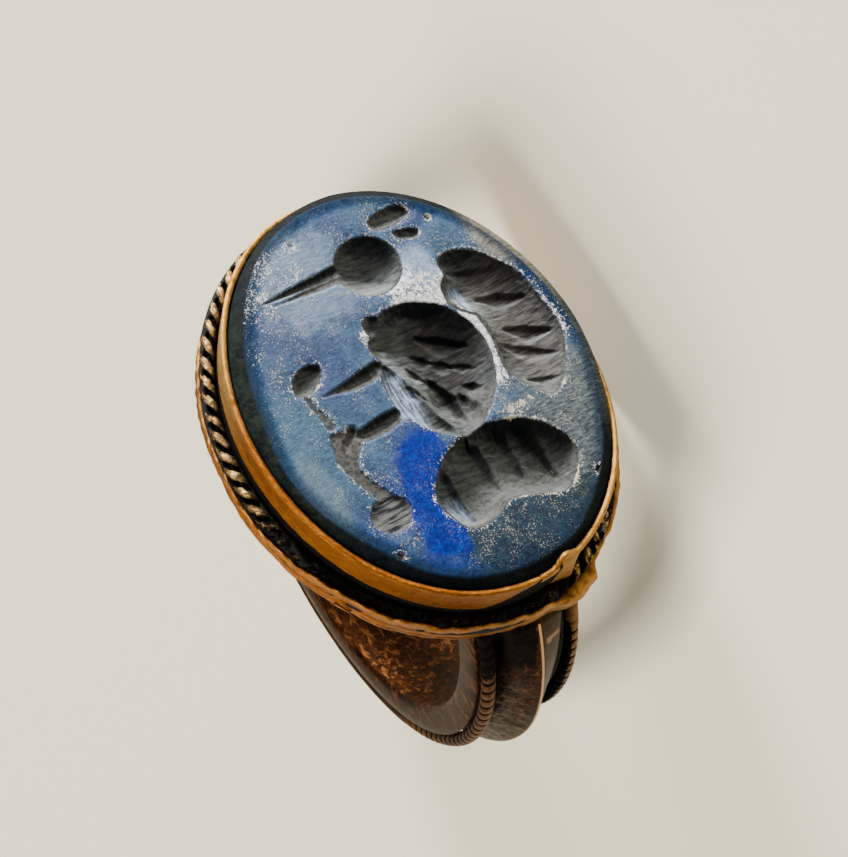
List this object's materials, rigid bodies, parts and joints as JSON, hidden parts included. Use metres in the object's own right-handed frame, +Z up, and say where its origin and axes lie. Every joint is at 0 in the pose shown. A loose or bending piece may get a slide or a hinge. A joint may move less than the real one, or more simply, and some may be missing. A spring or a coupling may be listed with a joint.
{
  "type": "intaglio ring",
  "caption": "Finger ring lying on its side: an oval engraved lapis lazuli in a strip collet, on a flange plate with twisted wire, over a ribbed hoop with beaded edges.",
  "frame": {"origin": "on the floor, under the middle of the lying ring's box", "axes": "+Z up from the floor, +X along the stone's length, -Y the way the engraved stone faces"},
  "size_m": [0.0238, 0.0234, 0.0158],
  "materials": {
    "lapis": "worn polish, greasy dark bevel",
    "gold": "worn, soft shine, dark dirt in the hollows",
    "dark_gold": "tarnished, worn bright on the rib"
  },
  "bodies": {
    "root": {"gem": "lapis", "collet": "gold", "base_plate": "gold", "rope_wire": "gold", "hoop": "dark_gold", "edge_wire_near": "gold", "edge_wire_far": "gold"}
  },
  "joints": []
}
